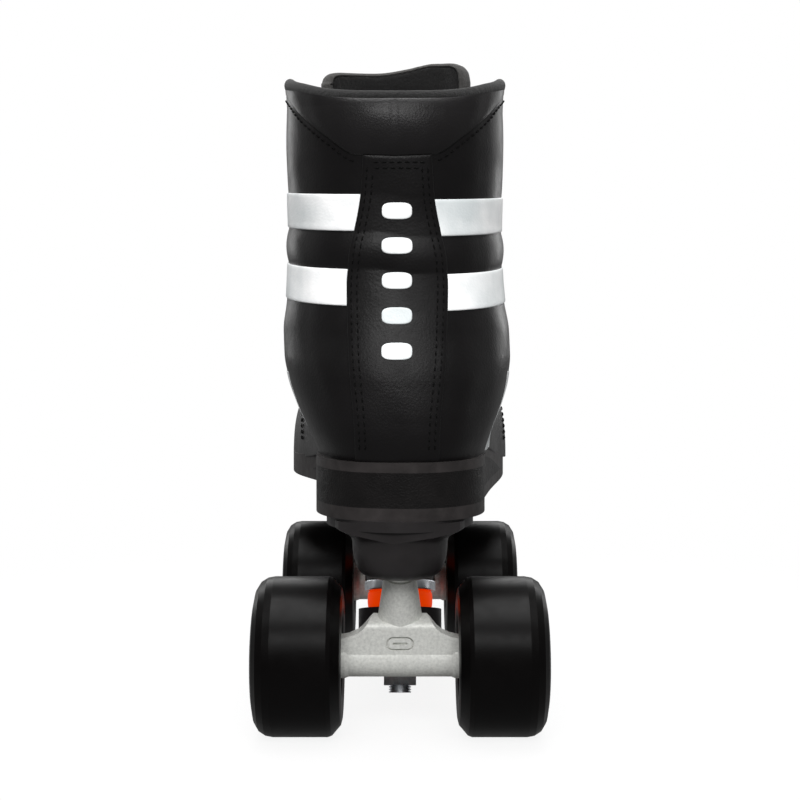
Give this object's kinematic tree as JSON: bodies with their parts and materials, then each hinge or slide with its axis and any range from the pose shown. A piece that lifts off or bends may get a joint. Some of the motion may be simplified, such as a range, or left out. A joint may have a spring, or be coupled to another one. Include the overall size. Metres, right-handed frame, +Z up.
{
  "type": "quad roller skate",
  "caption": "High-cut black leather quad roller skate: padded boot on a nylon plate, steerable cushioned trucks, free-spinning wheels and an adjustable toe stop.",
  "frame": {"origin": "on the floor, at the middle of the skate's footprint box", "axes": "+Z up, +Y from heel to toe, +X to the outer side of this right-foot skate"},
  "size_m": [0.118, 0.2917, 0.2775],
  "materials": {
    "smooth_leather": "smooth",
    "collar_fabric": "soft matt",
    "binding_tape": "woven tape",
    "lining_fabric": "brushed",
    "white_leather": "smooth",
    "eyelet_metal": "satin",
    "lace_webbing": "woven",
    "sole_rubber": "satin",
    "wedge_rubber": "pebbled",
    "black_nylon": "moulded",
    "cast_aluminium": "bead blasted",
    "zinc_steel": "zinc plated",
    "bearing_steel": "ground",
    "seal_rubber": "moulded",
    "orange_urethane": "gloss",
    "cup_rubber": "matt",
    "wheel_urethane": "gloss",
    "hub_nylon": "moulded",
    "stop_rubber": "matt"
  },
  "bodies": {
    "boot_and_plate": {"backstay": "smooth_leather", "backstay_marks": "white_leather", "collar_binding": "binding_tape", "collar_pad": "collar_fabric", "eyelets": "eyelet_metal", "heel_wedge": "wedge_rubber", "insole": "lining_fabric", "kingpin_nuts": "zinc_steel", "kingpins": "zinc_steel", "laces": "lace_webbing", "lining": "lining_fabric", "lower_cushion_front": "orange_urethane", "lower_cushion_rear": "orange_urethane", "lower_retainers": "zinc_steel", "midsole": "sole_rubber", "mounting_bolts": "zinc_steel", "outsole": "sole_rubber", "pivot_cups": "cup_rubber", "plate": "black_nylon", "quarter_lateral": "smooth_leather", "quarter_medial": "smooth_leather", "stripes": "white_leather", "toe_stop_jam_nut": "zinc_steel", "tongue": "collar_fabric", "upper_cushion_front": "orange_urethane", "upper_cushion_rear": "orange_urethane", "upper_retainers": "zinc_steel", "vamp": "smooth_leather"},
    "rear_truck": {"hanger_rear": "cast_aluminium", "cushion_seat_rear": "black_nylon", "axle_rear": "zinc_steel", "axle_nuts_rear": "zinc_steel", "speed_washers_rear": "zinc_steel", "inner_races_rear": "bearing_steel", "bearing_spacers_rear": "zinc_steel"},
    "front_truck": {"hanger_front": "cast_aluminium", "cushion_seat_front": "black_nylon", "axle_front": "zinc_steel", "axle_nuts_front": "zinc_steel", "speed_washers_front": "zinc_steel", "inner_races_front": "bearing_steel", "bearing_spacers_front": "zinc_steel"},
    "rear_right_wheel": {"tyre_rear_right": "wheel_urethane", "hub_rear_right": "hub_nylon", "outer_races_rear_right": "bearing_steel", "bearing_seals_rear_right": "seal_rubber"},
    "rear_left_wheel": {"tyre_rear_left": "wheel_urethane", "hub_rear_left": "hub_nylon", "outer_races_rear_left": "bearing_steel", "bearing_seals_rear_left": "seal_rubber"},
    "front_right_wheel": {"tyre_front_right": "wheel_urethane", "hub_front_right": "hub_nylon", "outer_races_front_right": "bearing_steel", "bearing_seals_front_right": "seal_rubber"},
    "front_left_wheel": {"tyre_front_left": "wheel_urethane", "hub_front_left": "hub_nylon", "outer_races_front_left": "bearing_steel", "bearing_seals_front_left": "seal_rubber"},
    "toe_stop": {"toe_stop_pad": "stop_rubber", "toe_stop_stem": "zinc_steel"}
  },
  "joints": [
    {"name": "rear_truck_steer", "type": "hinge", "parent": "boot_and_plate", "child": "rear_truck", "pos_m": [0, -0.126, 0.069], "axis": [0, -0.7497, 0.6618], "range_deg": [-8, 8], "stiffness_Nm_per_rad": 25, "deforming": ["upper_cushion_rear", "lower_cushion_rear"]},
    {"name": "front_truck_steer", "type": "hinge", "parent": "boot_and_plate", "child": "front_truck", "pos_m": [0, 0.06, 0.069], "axis": [0, 0.7497, 0.6618], "range_deg": [-8, 8], "stiffness_Nm_per_rad": 25, "deforming": ["upper_cushion_front", "lower_cushion_front"]},
    {"name": "rear_right_wheel_spin", "type": "hinge", "parent": "rear_truck", "child": "rear_right_wheel", "pos_m": [0.04005, -0.113, 0.031], "axis": [1, 0, 0], "continuous": true},
    {"name": "rear_left_wheel_spin", "type": "hinge", "parent": "rear_truck", "child": "rear_left_wheel", "pos_m": [-0.04005, -0.113, 0.031], "axis": [1, 0, 0], "continuous": true},
    {"name": "front_right_wheel_spin", "type": "hinge", "parent": "front_truck", "child": "front_right_wheel", "pos_m": [0.04005, 0.047, 0.031], "axis": [1, 0, 0], "continuous": true},
    {"name": "front_left_wheel_spin", "type": "hinge", "parent": "front_truck", "child": "front_left_wheel", "pos_m": [-0.04005, 0.047, 0.031], "axis": [1, 0, 0], "continuous": true},
    {"name": "toe_stop_height", "type": "slide", "parent": "boot_and_plate", "child": "toe_stop", "axis": [0, 0, 1], "range_m": [-0.01, 0.006]}
  ]
}
